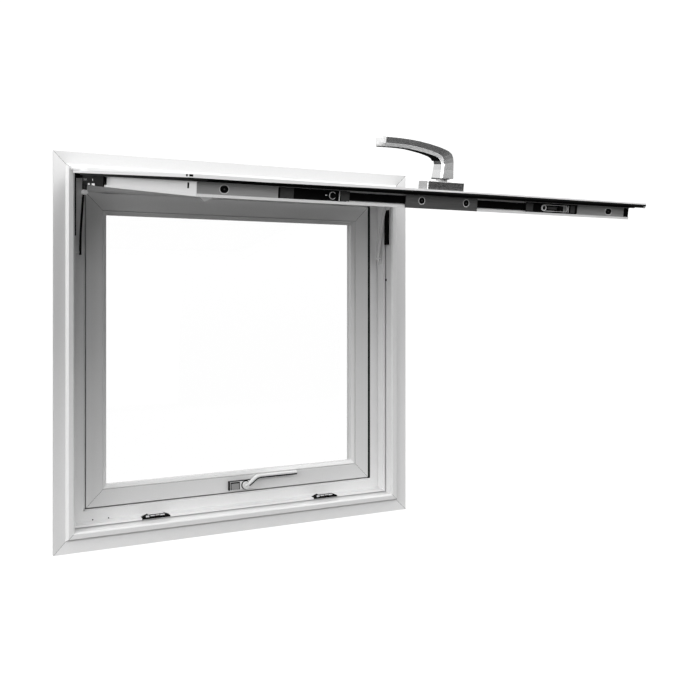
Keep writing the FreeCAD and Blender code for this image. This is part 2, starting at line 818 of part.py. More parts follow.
os.makedirs("parts", exist_ok=True)
for piece in pieces:
    piece.Shape.exportStep(f"parts/{piece.Label}.step")
    print(piece.Label, len(piece.Shape.Solids), round(piece.Shape.Volume / 1000, 2))
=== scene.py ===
import json
import math

import bmesh
import bpy
from mathutils import Matrix, Vector


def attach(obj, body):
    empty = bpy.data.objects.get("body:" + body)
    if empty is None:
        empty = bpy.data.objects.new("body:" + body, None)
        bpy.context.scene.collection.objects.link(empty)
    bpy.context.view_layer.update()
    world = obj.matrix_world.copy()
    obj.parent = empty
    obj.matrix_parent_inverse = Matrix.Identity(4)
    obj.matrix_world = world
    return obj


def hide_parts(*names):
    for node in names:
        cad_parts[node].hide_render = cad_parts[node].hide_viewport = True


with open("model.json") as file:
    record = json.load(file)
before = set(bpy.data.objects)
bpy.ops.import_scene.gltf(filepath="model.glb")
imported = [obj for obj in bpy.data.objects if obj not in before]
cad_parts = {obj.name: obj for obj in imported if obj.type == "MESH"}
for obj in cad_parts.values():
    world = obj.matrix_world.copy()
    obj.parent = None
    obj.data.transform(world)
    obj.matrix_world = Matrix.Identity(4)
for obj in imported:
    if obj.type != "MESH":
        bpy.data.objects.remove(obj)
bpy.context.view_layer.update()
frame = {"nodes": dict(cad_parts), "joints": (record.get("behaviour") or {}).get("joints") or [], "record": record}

# Top hung awning window: finishes, fine pieces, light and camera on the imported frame.
# Metres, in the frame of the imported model: X right, Y out of the building, Z up.
# Pieces of the inner sash are drawn with the sash closed, and SWING then opens them.

NODES = frame["nodes"]
JOINTS = {joint["name"]: joint for joint in frame["joints"]}
SLOT_OF = {part["node"]: part["material_slot"] for part in frame["record"]["subparts"]}
ALONG_X, ALONG_Y, ALONG_Z = (1, 0, 0), (0, 1, 0), (0, 0, 1)
MM_PER_METRE = 1000


def swing_matrix():
    """Takes the inner sash from closed to the open place it rests in."""
    joint = JOINTS["inner_sash_swing"]
    pivot = Matrix.Translation(Vector(joint["pos_m"]))
    turn = Matrix.Rotation(math.radians(-joint["range_deg"][0]), 4, Vector(joint["axis"]))
    return pivot @ turn @ pivot.inverted()


SWING = swing_matrix()


def span(points):
    """Low and high corners around some points."""
    low = Vector([min(point[axis] for point in points) for axis in range(3)])
    high = Vector([max(point[axis] for point in points) for axis in range(3)])
    return low, high


def rest_box(node):
    """Corners of a node where it rests."""
    return span([vertex.co for vertex in NODES[node].data.vertices])


def closed_box(node):
    """Corners of an inner sash node with the sash closed."""
    back = SWING.inverted()
    return span([back @ vertex.co for vertex in NODES[node].data.vertices])


def sash_edge():
    """Half the width of the inner sash's body, inside its lip."""
    low, high = closed_box("inner_bottom_rail")
    lip_width = closed_box("groove_end_plates")[0].z - low.z
    return high.x - lip_width


# Materials

TONE_STOPS = (0.3, 0.7)
ROUGHNESS_SPREAD = 0.15
NOISE_DETAIL = 6.0
COAT_ROUGHNESS = 0.08
BUMP_HEIGHT = 0.0004


def new_material(name):
    """An empty node material with its output."""
    material = bpy.data.materials.new(name)
    material.use_nodes = True
    tree = material.node_tree
    tree.nodes.clear()
    return material, tree, tree.nodes.new("ShaderNodeOutputMaterial")


def add_noise(tree, grain):
    """Noise over a piece, as fine along each axis as the grain says."""
    place = tree.nodes.new("ShaderNodeTexCoord")
    stretch = tree.nodes.new("ShaderNodeMapping")
    stretch.inputs["Scale"].default_value = grain
    noise = tree.nodes.new("ShaderNodeTexNoise")
    noise.inputs["Scale"].default_value = 1.0
    noise.inputs["Detail"].default_value = NOISE_DETAIL
    tree.links.new(place.outputs["Object"], stretch.inputs["Vector"])
    tree.links.new(stretch.outputs["Vector"], noise.inputs["Vector"])
    return noise.outputs["Fac"]


def finish(name, tone, rough, spread, grain, metal=0.0, relief=0.0, coat=0.0, shine=0.5):
    """A surface whose tone and roughness wander a little around the given values."""
    material, tree, output = new_material(name)
    shader = tree.nodes.new("ShaderNodeBsdfPrincipled")
    noise = add_noise(tree, grain)
    tones = tree.nodes.new("ShaderNodeValToRGB")
    shares = (1.0 - spread, 1.0 + spread)
    for element, stop, share in zip(tones.color_ramp.elements, TONE_STOPS, shares):
        element.position = stop
        element.color = (*[min(1.0, tone * share)] * 3, 1.0)
    roughness = tree.nodes.new("ShaderNodeMapRange")
    roughness.inputs["To Min"].default_value = rough * (1.0 - ROUGHNESS_SPREAD)
    roughness.inputs["To Max"].default_value = rough * (1.0 + ROUGHNESS_SPREAD)
    link = tree.links.new
    link(noise, tones.inputs["Fac"])
    link(noise, roughness.inputs["Value"])
    link(tones.outputs["Color"], shader.inputs["Base Color"])
    link(roughness.outputs["Result"], shader.inputs["Roughness"])
    shader.inputs["Metallic"].default_value = metal
    shader.inputs["Specular IOR Level"].default_value = shine
    shader.inputs["Coat Weight"].default_value = coat
    shader.inputs["Coat Roughness"].default_value = COAT_ROUGHNESS
    if relief:
        bump = tree.nodes.new("ShaderNodeBump")
        bump.inputs["Strength"].default_value = relief
        bump.inputs["Distance"].default_value = BUMP_HEIGHT
        link(noise, bump.inputs["Height"])
        link(bump.outputs["Normal"], shader.inputs["Normal"])
    link(shader.outputs["BSDF"], output.inputs["Surface"])
    return material


def clear_glass(name):
    """Clear glass with a faint sheen that wanders a little."""
    through, sheen_share = 0.99, 0.04
    dullness, ripple = (0.01, 0.04), 6.0
    material, tree, output = new_material(name)
    clear = tree.nodes.new("ShaderNodeBsdfTransparent")
    clear.inputs["Color"].default_value = (through, through, through, 1.0)
    sheen = tree.nodes.new("ShaderNodeBsdfGlossy")
    place = tree.nodes.new("ShaderNodeTexCoord")
    noise = tree.nodes.new("ShaderNodeTexNoise")
    noise.inputs["Scale"].default_value = ripple
    gloss = tree.nodes.new("ShaderNodeMapRange")
    gloss.inputs["To Min"].default_value = dullness[0]
    gloss.inputs["To Max"].default_value = dullness[1]
    blend = tree.nodes.new("ShaderNodeMixShader")
    blend.inputs["Fac"].default_value = sheen_share
    link = tree.links.new
    link(place.outputs["Object"], noise.inputs["Vector"])
    link(noise.outputs["Fac"], gloss.inputs["Value"])
    link(gloss.outputs["Result"], sheen.inputs["Roughness"])
    link(clear.outputs["BSDF"], blend.inputs[1])
    link(sheen.outputs["BSDF"], blend.inputs[2])
    link(blend.outputs["Shader"], output.inputs["Surface"])
    return material


# Grains: cells of noise in a metre along X, Y and Z
FINE = (260.0, 260.0, 260.0)
WIRE = (300.0, 300.0, 300.0)
BRUSHED = (20.0, 900.0, 900.0)

FINISHES = {
    "white_paint": dict(tone=0.80, rough=0.30, spread=0.012, grain=FINE, relief=0.01, coat=0.25),
    # The outer sash's white paint, set darker than the frame's: the difference is painted shade of the recess
    "grey_paint": dict(tone=0.74, rough=0.26, spread=0.012, grain=FINE, relief=0.01, coat=0.3),
    "bead_paint": dict(tone=0.80, rough=0.16, spread=0.012, grain=FINE, coat=0.8, shine=1.0),
    "end_plate": dict(tone=0.37, rough=0.40, spread=0.1, grain=BRUSHED, metal=0.4),
    "cam_paint": dict(tone=0.74, rough=0.22, spread=0.02, grain=FINE, coat=0.4),
    "black_hardware": dict(tone=0.004, rough=0.5, spread=0.3, grain=FINE, relief=0.1, shine=0.02),
    "plate_steel": dict(tone=0.22, rough=0.38, spread=0.1, grain=BRUSHED, metal=1.0),
    "handle_satin": dict(tone=0.84, rough=0.22, spread=0.02, grain=FINE, metal=1.0),
    "rubber": dict(tone=0.003, rough=0.6, spread=0.3, grain=FINE, relief=0.2, shine=0.15),
    "screen_steel": dict(tone=0.05, rough=0.45, spread=0.1, grain=WIRE, shine=0.2),
}
MATERIALS = {slot: finish(slot, **look) for slot, look in FINISHES.items()}
MATERIALS["glass"] = clear_glass("glass")


# Widths of softened edges, and the angle from which an edge is softened
BAR_EDGE, SMALL_EDGE, CAM_EDGE, LEVER_EDGE = 0.0010, 0.0006, 0.0008, 0.0012
EDGE_ANGLE = math.radians(30)


def soften(piece, width):
    """Rounds the edges of a piece so that they catch light."""
    edge = piece.modifiers.new("soft_edge", "BEVEL")
    edge.width = width
    edge.segments = 2
    edge.limit_method = "ANGLE"
    edge.angle_limit = EDGE_ANGLE
    edge.use_clamp_overlap = True
    edge.harden_normals = True


def dress_nodes():
    """Gives each CAD node its finish, and soft edges to all but the glass."""
    for name, node in NODES.items():
        node.data.materials.clear()
        node.data.materials.append(MATERIALS[SLOT_OF[name]])
        if name.startswith(("trim_", "frame_")):
            soften(node, BAR_EDGE)
        elif name != "glass_pane":
            soften(node, SMALL_EDGE)


# Ways to make fine pieces

ROUND_SEGMENTS = 40


def add_mesh(name, mesh_data, body, slot, matrix=None, stands_for=()):
    """Links a bmesh as a piece that rides on a body and takes a material slot."""
    mesh = bpy.data.meshes.new(name)
    bmesh.ops.recalc_face_normals(mesh_data, faces=mesh_data.faces)
    mesh_data.to_mesh(mesh)
    mesh_data.free()
    if matrix:
        mesh.transform(matrix)
    piece = bpy.data.objects.new(name, mesh)
    bpy.context.scene.collection.objects.link(piece)
    mesh.materials.append(MATERIALS[slot])
    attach(piece, body)
    if stands_for:
        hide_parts(*stands_for)
    return piece


def put_box(mesh_data, low, high):
    """Adds a box between two corners to a bmesh."""
    low, high = Vector(low), Vector(high)
    size = high - low
    place = Matrix.Translation((low + high) / 2) @ Matrix.Diagonal((*size, 1.0))
    bmesh.ops.create_cube(mesh_data, size=1.0, matrix=place)


def put_pair(mesh_data, near, far, low, high):
    """Adds a box at each side of the window, between two distances from its middle."""
    put_box(mesh_data, (-far, *low), (-near, *high))
    put_box(mesh_data, (near, *low), (far, *high))


def put_disc(mesh_data, centre, axis, radius, height, segments=24):
    """Adds a round plug, centred on a point, to a bmesh."""
    turn = Vector(ALONG_Z).rotation_difference(Vector(axis)).to_matrix().to_4x4()
    bmesh.ops.create_cone(
        mesh_data, cap_ends=True, segments=segments, radius1=radius, radius2=radius, depth=height,
        matrix=Matrix.Translation(centre) @ turn,
    )


def join_rings(mesh_data, first, second):
    """Adds a band of faces between two rings of vertices."""
    for index in range(len(first)):
        after = (index + 1) % len(first)
        mesh_data.faces.new((first[index], first[after], second[after], second[index]))


def put_loft(mesh_data, sections):
    """Adds a closed skin through rings of points, each with the same count."""
    rings = [[mesh_data.verts.new(point) for point in section] for section in sections]
    for first, second in zip(rings, rings[1:]):
        join_rings(mesh_data, first, second)
    mesh_data.faces.new(list(reversed(rings[0])))
    mesh_data.faces.new(rings[-1])


def lofted(*skins):
    """A new bmesh with a closed skin through each list of rings."""
    mesh_data = bmesh.new()
    for sections in skins:
        put_loft(mesh_data, sections)
    return mesh_data


def slot_points(centre, length, width, level, segments=12):
    """A loop with straight sides and round ends, in the plane of X and Y."""
    loop = []
    for end in (1, -1):
        for step in range(segments + 1):
            angle = math.pi * (step / segments - 0.5)
            x = centre[0] + end * ((length - width) / 2 + width / 2 * math.cos(angle))
            loop.append((x, centre[1] + end * width / 2 * math.sin(angle), level))
    return loop


def put_slot_plug(mesh_data, centre, length, width, low, high):
    """Adds a plug with straight sides and round ends."""
    put_loft(mesh_data, [slot_points(centre, length, width, level) for level in (low, high)])


def put_slot_ring(mesh_data, centre, length, width, rim, low, high):
    """Adds a ring with straight sides and round ends."""
    inner = (length - 2 * rim, width - 2 * rim)
    loops = [
        slot_points(centre, length, width, low), slot_points(centre, length, width, high),
        slot_points(centre, *inner, high), slot_points(centre, *inner, low),
    ]
    rings = [[mesh_data.verts.new(point) for point in loop] for loop in loops]
    for index, ring in enumerate(rings):
        join_rings(mesh_data, ring, rings[(index + 1) % len(rings)])


def directions(line):
    """The unit direction of a line of flat points at each of them."""
    ends = [line[0], *line, line[-1]]
    return [(Vector(after) - Vector(before)).normalized() for before, after in zip(ends, ends[2:])]


# Inner sash

SCREEN_PITCH, SCREEN_WIRE = 0.0023, 0.0009


def make_screen():
    """Woven wire screen in place of the sheet that stands for it."""
    low, high = closed_box("inner_screen")
    half = SCREEN_WIRE / 2
    level = (low.y + high.y) / 2
    mesh_data = bmesh.new()
    for index in range(1, int((high.x - low.x) / SCREEN_PITCH)):
        x = low.x + index * SCREEN_PITCH
        put_box(mesh_data, (x - half, level - SCREEN_WIRE, low.z), (x + half, level, high.z))
    for index in range(1, int((high.z - low.z) / SCREEN_PITCH)):
        z = low.z + index * SCREEN_PITCH
        put_box(mesh_data, (low.x, level, z - half), (high.x, level + SCREEN_WIRE, z + half))
    add_mesh("screen_wires", mesh_data, "inner_sash", "screen_steel", SWING, ["inner_screen"])


# Stations of the lever, in millimetres from its axis and the rosette: the outer and the inner
# edge (along the rail, away from the sash), the share of the bar that its front face takes, and
# the thickness of the dark line of painted shade along the inner edge.
LEVER = [
    (11.5, 4.0, -12.0, 4.0, 0.88, 0.0),
    (11.2, 18.5, -10.0, 17.5, 0.88, 0.0),
    (11.0, 30.5, -9.2, 26.0, 0.86, 0.0),
    (10.0, 37.5, -10.8, 31.5, 0.83, 2.6),
    (7.0, 43.3, -14.5, 35.5, 0.80, 2.5),
    (1.0, 47.3, -20.0, 38.0, 0.77, 2.2),
    (-8.0, 50.2, -28.0, 40.0, 0.75, 2.1),
    (-18.0, 52.7, -37.0, 41.8, 0.73, 1.7),
    (-35.0, 55.8, -52.0, 44.0, 0.72, 1.4),
    (-54.0, 58.5, -66.0, 45.7, 0.71, 1.0),
    (-75.0, 60.1, -81.0, 46.3, 0.70, 0.8),
    (-97.0, 60.7, -99.0, 46.2, 0.69, 0.7),
    (-114.5, 60.5, -114.8, 45.7, 0.68, 0.6),
    (-117.8, 59.8, -118.0, 46.4, 0.68, 0.5),
    (-119.8, 57.6, -119.9, 48.6, 0.66, 0.0),
]

# The lever's depth across the rail, in millimetres: it narrows at its tip, swells in its neck, and
# its front falls back from the crease to the inner edge.
LEVER_HALF_WIDTH = 12.5
TIP_START, TIP_LENGTH, TIP_LEAST = -114.5, 5.8, 0.1
NECK_FOOT, NECK_TOP, NECK_SWELL, NECK_CURVE = 4.0, 48.0, 2.8, 1.5
FRONT_FALL = 34.0


def lever_depths(along_rail, height, share):
    """Depths of the back, of the front and of the front's inner edge at a station of the lever."""
    past_tip = max(0.0, TIP_START - along_rail) / TIP_LENGTH
    taper = math.sqrt(max(TIP_LEAST, 1.0 - past_tip ** 2))
    in_neck = max(0.0, NECK_TOP - height) / (NECK_TOP - NECK_FOOT)
    back = LEVER_HALF_WIDTH * taper
    front = -back - NECK_SWELL * in_neck ** NECK_CURVE
    return back, front, front + FRONT_FALL * (1.0 - share) * taper


def lever_rings(face, middle):
    """Rings of the lever's bar, of the painted highlight on the facet below its crease and of its dark line of
    painted shade.
    """
    # Millimetres: where the painted highlight and the painted shade line lie beside the crease and the edges
    highlight_from_crease, highlight_from_edge = 0.5, 0.3
    crease_proud, edge_proud, highlight_depth = 0.1, 0.6, 1.0
    shade_inset, shade_slant, shade_from_back = 0.4, 1.0, 1.0

    def spot(place, depth):
        x, height = place / MM_PER_METRE
        return (x, face - height, middle + depth / MM_PER_METRE)

    bar, highlight_facet, line = [], [], []
    for outer_x, outer_height, inner_x, inner_height, share, shade_width in LEVER:
        outer, inner = Vector((outer_x, outer_height)), Vector((inner_x, inner_height))
        crease = outer.lerp(inner, share)
        back, front, heel = lever_depths(outer_x, outer_height, share)
        bar.append([
            spot(outer, back), spot(outer, front), spot(crease, front), spot(inner, heel), spot(inner, back),
        ])
        if shade_width:
            across = (inner - outer).normalized()
            upper, lower = crease + across * highlight_from_crease, inner - across * highlight_from_edge
            highlight_facet.append([
                spot(upper, front - crease_proud), spot(lower, heel - edge_proud),
                spot(lower, heel + edge_proud), spot(upper, front + highlight_depth),
            ])
            above, below = inner - across * shade_inset, inner + across * shade_width
            line.append([
                spot(above, heel + shade_inset), spot(below, heel + shade_inset + shade_slant),
                spot(below, back - shade_from_back), spot(above, back - shade_from_back),
            ])
    return bar, highlight_facet, line


def grown(ring, scale, shift):
    """A ring of points scaled about its middle and moved."""
    centre = sum((Vector(point) for point in ring), Vector()) / len(ring)
    return [centre + (Vector(point) - centre) * scale + Vector(shift) for point in ring]


def make_lever():
    """The satin lever: a creased bar, white paint on its lower facet as a painted highlight, a pale tip, a dark
    line and band of painted shade, and its collar.
    """
    low, high = closed_box("handle_rosette")
    face, middle = low.y, (low.z + high.z) / 2
    bar, highlight_facet, line = lever_rings(face, middle)
    lever = add_mesh("lever_bar", lofted(bar), "lever", "handle_satin", SWING, ["lever_handle"])
    soften(lever, LEVER_EDGE)

    # White paint on the facet below the crease is a painted highlight; the tip is pale too
    tip_rings, tip_scale, tip_shift = 3, 1.03, (-0.0002, 0.0, 0.0)
    tip = [grown(ring, tip_scale, tip_shift) for ring in bar[-tip_rings:]]
    add_mesh("lever_painted_highlight_and_tip", lofted(highlight_facet, tip), "lever", "white_paint", SWING)

    # Painted shade: the dark line along the inner edge, and a dark band at the foot of the neck
    dark = lofted(line)
    half = LEVER_HALF_WIDTH / MM_PER_METRE
    band_left, band_right, band_swell = -0.0115, 0.0040, 0.0024
    band_foot, band_top = face - 0.0030, face - 0.0042
    put_box(dark, (band_left, band_top, middle - half - band_swell), (band_right, band_foot, middle + half))
    add_mesh("lever_painted_shade", dark, "lever", "black_hardware", SWING)

    collar = bmesh.new()
    collar_radius, collar_height, collar_rise = 0.0088, 0.0030, 0.0018
    spot = (0.0, face - collar_rise, middle)
    put_disc(collar, spot, ALONG_Y, collar_radius, collar_height, ROUND_SEGMENTS)
    add_mesh("lever_collar", collar, "lever", "white_paint", SWING)


# Screws in the bottom rail's groove: place along X, length and width of the hole, and its plate
GEAR_SCREWS = [
    (-0.3640, 0.0118, 0.0100, "groove_end_plates"),
    (-0.0388, 0.0094, 0.0094, "gearbox_plate"),
    (0.0457, 0.0094, 0.0094, "gearbox_plate"),
    (0.3540, 0.0135, 0.0094, "groove_end_plates"),
]

# Dull blocks on the lock cases, and pale bars of painted highlight on them: left and right end
# along X, half the width, and how far they stand proud
LEFT_BLOCK = (-0.2787, -0.2582)
BLOCK_EDGE = 0.0005
CASE_BLOCKS = [
    (*LEFT_BLOCK, 0.0072, 0.0003),
    *[(x - BLOCK_EDGE, x + BLOCK_EDGE, 0.0074, 0.0006) for x in LEFT_BLOCK],
    (-0.1804, -0.1660, 0.0074, 0.0004),
    (0.1694, 0.1843, 0.0062, 0.0004),
    (0.2665, 0.2760, 0.0062, 0.0004),
]
CASE_BARS = [
    (-0.2065, -0.2035, 0.0008, 0.0005),
    (-0.1838, -0.1824, 0.0072, 0.0006),
    *[(x - BLOCK_EDGE, x + BLOCK_EDGE, 0.0058, 0.0006) for x in (0.2513, 0.2569, 0.2614)],
]

# Pale rings of painted highlight on the lock cases: middle along X, length, width, rim, and how far
# they stand proud. They ring the left case's cam, the right case's slider and the slider's pin.
CASE_RINGS = [
    (-0.1945, 0.0115, 0.0115, 0.0011, 0.0006),
    (0.2310, 0.0580, 0.0110, 0.0009, 0.0006),
    (0.2080, 0.0095, 0.0095, 0.0012, 0.0008),
]


def put_screws(holes, rings, marks, middle):
    """Adds each screw of the groove: a dark hole, a pale ring of painted highlight around it and the dull point in
    it.
    """
    margin, rim = 0.0030, 0.0010
    hole_depth, ring_proud, ring_sunk = 0.0006, 0.0005, 0.0004
    point_radius, point_height = 0.0012, 0.0004
    for x, length, width, plate in GEAR_SCREWS:
        level = closed_box(plate)[0].z
        put_slot_plug(holes, (x, middle), length, width, level - hole_depth, level + hole_depth)
        put_slot_ring(
            rings, (x, middle), length + margin, width + margin, rim, level - ring_proud, level + ring_sunk,
        )
        put_disc(marks, (x, middle, level - hole_depth), ALONG_Z, point_radius, point_height)


def make_gear_details():
    """Screws on the plates in the bottom rail's groove, and dull blocks and pale painted highlights on the lock
    cases.
    """
    low, high = closed_box("lock_case_left")
    face, middle = low.z, (low.y + high.y) / 2
    holes, rings, marks = bmesh.new(), bmesh.new(), bmesh.new()
    put_screws(holes, rings, marks, middle)

    bar_sunk, ring_sunk = 0.0003, 0.0004
    for group, rows in ((marks, CASE_BLOCKS), (rings, CASE_BARS)):
        for left, right, reach, proud in rows:
            put_box(group, (left, middle - reach, face - proud), (right, middle + reach, face + bar_sunk))
    for x, length, width, rim, proud in CASE_RINGS:
        put_slot_ring(rings, (x, middle), length, width, rim, face - proud, face + ring_sunk)

    # Floor of the slot in the right case's slider
    left, right, reach, proud, sunk = 0.2170, 0.2480, 0.0022, 0.0002, 0.0006
    put_box(marks, (left, middle - reach, face - proud), (right, middle + reach, face + sunk))
    add_mesh("gear_holes", holes, "inner_sash", "black_hardware", SWING)
    # Pale rings and bars: painted highlights
    add_mesh("gear_painted_highlights", rings, "inner_sash", "cam_paint", SWING)
    add_mesh("gear_marks", marks, "inner_sash", "screen_steel", SWING)


def make_corner_details():
    """The cap and slot at the near corner, the plug at the groove's far end, and the corner keys."""
    plate_low, plate_high = closed_box("groove_end_plates")
    lip = closed_box("inner_bottom_rail")[0]
    near, far, foot = plate_low.y, plate_high.y, plate_low.z
    edge = sash_edge()
    proud, sunk = 0.0002, 0.0006
    cap_height = 0.0440
    slot_foot, slot_top, slot_proud = 0.0320, 0.0390, 0.0006
    slot_near, slot_far = near + 0.0014, far - 0.0064
    plug_gap, plug_inset, plug_height = 0.0008, 0.0010, 0.0040
    cap, dark = bmesh.new(), bmesh.new()
    put_box(cap, (-edge - proud, near, foot), (-edge + sunk, far, foot + cap_height))
    put_box(dark, (-edge - slot_proud, slot_near, foot + slot_foot), (-edge, slot_far, foot + slot_top))
    put_box(
        dark, (plate_high.x + plug_gap, near, foot + sunk), (edge - plug_inset, far, foot + plug_height),
    )

    # Ends of the corner keys, in the lip's side and in its lower edge
    key_near, key_far = lip.y + 0.0006, lip.y + 0.0036
    side_foot, side_top = lip.z + 0.0010, lip.z + 0.0080
    below_left, below_right = lip.x + 0.0018, lip.x + 0.0072
    put_box(dark, (lip.x - proud, key_near, side_foot), (lip.x + sunk, key_far, side_top))
    put_box(dark, (below_left, key_near, lip.z - proud), (below_right, key_far, lip.z + sunk))
    add_mesh("corner_cap", cap, "inner_sash", "white_paint", SWING)
    add_mesh("edge_slots", dark, "inner_sash", "black_hardware", SWING)


def make_seal_ends():
    """The bottom seal past the corners, its strip that widens to the right, and its stud."""
    low, high = closed_box("inner_bottom_rail")
    foot, back = low.z, closed_box("inner_gasket")[0].y
    inset, inner_x = 0.0010, 0.3950
    seal_near, seal_far = back - 0.0002, back + 0.0032
    seal_foot, seal_top = foot + 0.0004, foot + 0.0044
    seal = bmesh.new()
    put_pair(seal, inner_x, high.x - inset, (seal_near, seal_foot), (seal_far, seal_top))

    # The strip under the lip: place along X and how far it reaches towards the room
    strip_foot, strip_top, strip_far = foot - 0.0003, foot + 0.0005, back + 0.0002
    reaches = [(-0.30, 0.0001), (-0.10, 0.0018), (0.05, 0.0027), (high.x - 0.0005, 0.0027)]
    strip = []
    for x, reach in reaches:
        strip.append([
            (x, back - reach, strip_foot), (x, strip_far, strip_foot),
            (x, strip_far, strip_top), (x, back - reach, strip_top),
        ])
    put_loft(seal, strip)

    light = bmesh.new()
    stud_radius, stud_height = 0.0020, 0.0008
    stud = (high.x - 0.0040, back + 0.0018, foot + 0.0003)
    put_disc(light, stud, ALONG_Z, stud_radius, stud_height)
    add_mesh("seal_ends", seal, "inner_sash", "rubber", SWING)
    add_mesh("seal_stud", light, "inner_sash", "end_plate", SWING)


# Seals and joints of the frame and the outer sash


def make_frame_seals():
    """Seals that narrow the gap between the frame's upstand and the outer sash, with a black strip of painted
    shade in the gap at the right.
    """
    left, right = rest_box("frame_jamb_left")[1].x, rest_box("frame_jamb_right")[0].x
    foot, top = rest_box("frame_sill")[1].z, rest_box("frame_head")[0].z
    face = rest_box("outer_bottom_rail")[0].y
    near, far = face - 0.0005, face + 0.0035
    width, right_width = 0.0034, 0.0058
    seals, dark = bmesh.new(), bmesh.new()
    put_box(seals, (left, near, foot), (left + width, far, top))
    # Black strip at the right: painted shade in the gap
    put_box(dark, (right - right_width, near, foot + width), (right, far, top - width))
    put_box(seals, (left, near, foot), (right, far, foot + width))
    put_box(seals, (left, near, top - width), (right, far, top))
    add_mesh("outer_seals", seals, "frame", "grey_paint")
    add_mesh("outer_gap_painted_shade_right", dark, "frame", "rubber")


def trim_profile():
    """The room face of the trim, from its outer edge inwards: distance and Y."""
    low, high = rest_box("trim_left")
    face, width = low.y, high.x - low.x
    flange, bevel, chamfer = 0.0270, 0.0060, 0.0035
    outer_drop, root_drop = 0.0055, 0.0085
    return [
        (0.0, face + outer_drop), (flange, face + root_drop), (flange + bevel, face),
        (width - chamfer, face), (width, face + chamfer),
    ]


def put_mitre_lines(lines, low, high, profile):
    """Adds a fine line along the mitre at each corner of a frame of bars."""
    half, proud, sunk = 0.00017, 0.0001, 0.0004
    for side in (-1, 1):
        for end in (-1, 1):
            across_x, across_z = end * half, -side * half
            sections = []
            for inset, y in profile:
                x = low.x + inset if side < 0 else high.x - inset
                z = low.z + inset if end < 0 else high.z - inset
                sections.append([
                    (x + across_x, y - proud, z + across_z), (x - across_x, y - proud, z - across_z),
                    (x - across_x, y + sunk, z - across_z), (x + across_x, y + sunk, z + across_z),
                ])
            put_loft(lines, sections)


def make_mitre_lines():
    """The fine dark joints between the mitred bars of the trim and of the outer sash."""
    trim_low, trim_high = rest_box("trim_sill")[0], rest_box("trim_head")[1]
    sash_low, sash_high = rest_box("outer_bottom_rail")[0], rest_box("outer_top_rail")[1]
    sash_face = [(inset, sash_low.y) for inset in (0.017, 0.055)]
    for name, body, low, high, profile in (
        ("trim_joints", "frame", trim_low, trim_high, trim_profile()),
        ("sash_joints", "outer_sash", sash_low, sash_high, sash_face),
    ):
        lines = bmesh.new()
        put_mitre_lines(lines, low, high, profile)
        add_mesh(name, lines, body, "black_hardware")


# Hinges and stays

# Boxes at both top corners, by their low and high corners in Y and Z
STILE_PLATES = [((-0.0166, 0.6140), (0.0060, 0.8250)), ((0.0050, 0.7850), (0.0165, 0.8250))]
STILE_MARKS = [((0.0012, 0.7420), (0.0052, 0.7600)), ((0.0010, 0.6920), (0.0054, 0.7220))]
HINGE_BLOCK = ((-0.0040, 0.8300), (0.0140, 0.8384))
HINGE_PACKER = ((0.0075, 0.7970), (0.0145, 0.8280))


def make_hinge_details():
    """Black plates with pale marks on the stiles, and blocks and packers at the frame's top corners."""
    edge = sash_edge()
    plate_sunk, plate_proud, mark_sunk, mark_proud = 0.0002, 0.0024, 0.0004, 0.0003
    face = edge + plate_proud
    block_ends, packer_ends = (0.3850, 0.4155), (0.4072, 0.4112)
    plates, bright, blocks, packers = bmesh.new(), bmesh.new(), bmesh.new(), bmesh.new()
    for plate in STILE_PLATES:
        put_pair(plates, edge - plate_sunk, face, *plate)
    for mark in STILE_MARKS:
        put_pair(bright, face - mark_sunk, face + mark_proud, *mark)
    put_pair(blocks, *block_ends, *HINGE_BLOCK)
    put_pair(packers, *packer_ends, *HINGE_PACKER)
    add_mesh("stile_hinge_plates", plates, "inner_sash", "black_hardware", SWING)
    add_mesh("stile_hinge_marks", bright, "inner_sash", "white_paint", SWING)
    add_mesh("hinge_blocks", blocks, "frame", "black_hardware")
    add_mesh("hinge_packers", packers, "frame", "white_paint")


# Centre line of a stay arm, in millimetres along Y and Z, and half its width
STAY_ARM = [
    (28.0, 656.0), (27.8, 668.0), (26.0, 688.0), (22.3, 709.0), (17.0, 727.0), (9.5, 748.0), (2.0, 768.0),
    (-4.0, 783.0), (-10.0, 793.0), (-17.5, 800.0),
]
STAY_HALF_WIDTH = 4.5


def make_stay_arms():
    """The curved stay arms, with a pale roller each: the same part at both sides, painted black for shade at the
    left and pale for light at the right.
    """
    roller_y, roller_z, roller_radius, roller_height = -0.0210, 0.7950, 0.0066, 0.0040
    # Black at the left is painted shade and pale at the right is painted light; the arms are alike
    for side, slot in (("left", "black_hardware"), ("right", "cam_paint")):
        low, high = rest_box(f"stay_arm_{side}")
        sections = []
        for centre, along in zip(STAY_ARM, directions(STAY_ARM)):
            across = Vector((along.y, -along.x)) * STAY_HALF_WIDTH
            near, far = Vector(centre) - across, Vector(centre) + across
            sections.append([
                (x, *point / MM_PER_METRE)
                for x, point in ((low.x, near), (high.x, near), (high.x, far), (low.x, far))
            ])
        stands_for = [f"stay_arm_{side}"]
        arm = add_mesh(f"stay_arm_bar_painted_lighting_{side}", lofted(sections), f"{side}_stay", slot, None, stands_for)
        soften(arm, SMALL_EDGE)
        roller = bmesh.new()
        spot = ((low.x + high.x) / 2, roller_y, roller_z)
        put_disc(roller, spot, ALONG_Y, roller_radius, roller_height)
        add_mesh(f"stay_roller_{side}", roller, f"{side}_stay", "cam_paint")


def make_stay_details():
    """Rivets on the slides of the stays."""
    drops = (0.020, 0.040, 0.110)
    proud, radius, height = 0.0004, 0.0028, 0.0010
    rivets = bmesh.new()
    for side, sign in (("left", -1), ("right", 1)):
        low, high = closed_box(f"stay_slide_{side}")
        face = low.x if sign < 0 else high.x
        middle = (low.y + high.y) / 2
        for drop in drops:
            put_disc(rivets, (face + sign * proud, middle, high.z - drop), ALONG_X, radius, height)
    add_mesh("stay_rivets", rivets, "inner_sash", "handle_satin", SWING)


